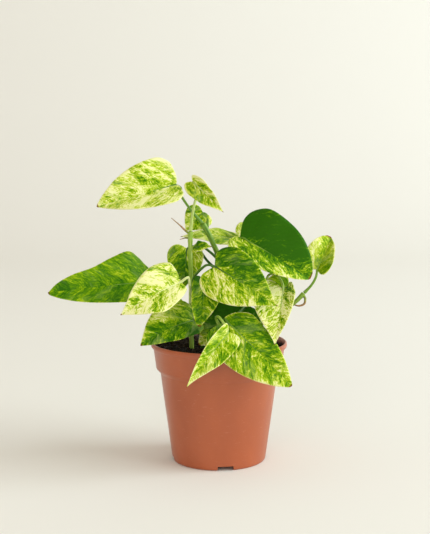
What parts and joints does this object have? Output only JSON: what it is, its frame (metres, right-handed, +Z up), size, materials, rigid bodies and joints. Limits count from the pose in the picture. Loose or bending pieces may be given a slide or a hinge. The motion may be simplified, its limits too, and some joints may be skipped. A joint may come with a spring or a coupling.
{
  "type": "potted pothos plant",
  "caption": "Young variegated climbing houseplant with heart-shaped leaves on bending stems, rooted in peat in a tapered plastic nursery pot.",
  "frame": {"origin": "centre of the pot's underside, on the ground", "axes": "+Z up along the pot's axis, -Y towards the front of the plant, +X to the right as seen from the front"},
  "size_m": [0.2482, 0.1406, 0.2672],
  "materials": {
    "pot": "satin terracotta-coloured moulded plastic",
    "peat": "loose dark peat, matt",
    "stem": "smooth green living stem",
    "leaf_green": "satin green leaf with yellow-green and cream streaks",
    "leaf_cream": "satin cream and yellow-green leaf with green flecks",
    "leaf_dark": "satin dark green leaf with a few yellow-green streaks"
  },
  "bodies": {
    "root": {"pot": "pot", "soil": "peat", "vine_centre": "stem", "vine_front": "stem", "vine_lean": "stem", "vine_left": "stem", "vine_right": "stem", "vine_tall": "stem", "leaf_back_light": "leaf_green", "leaf_back_small": "leaf_green", "leaf_centre_down": "leaf_green", "leaf_centre_large": "leaf_green", "leaf_front_large": "leaf_green", "leaf_front_narrow": "leaf_green", "leaf_inner_round": "leaf_green", "leaf_left_cream": "leaf_cream", "leaf_left_long": "leaf_green", "leaf_left_low": "leaf_green", "leaf_low_inner": "leaf_green", "leaf_mid_small": "leaf_green", "leaf_right_cream": "leaf_cream", "leaf_right_dark": "leaf_dark", "leaf_right_inner": "leaf_green", "leaf_right_small": "leaf_green", "leaf_top_folded": "leaf_cream", "leaf_top_left": "leaf_cream", "leaf_top_young": "leaf_green"}
  },
  "joints": []
}
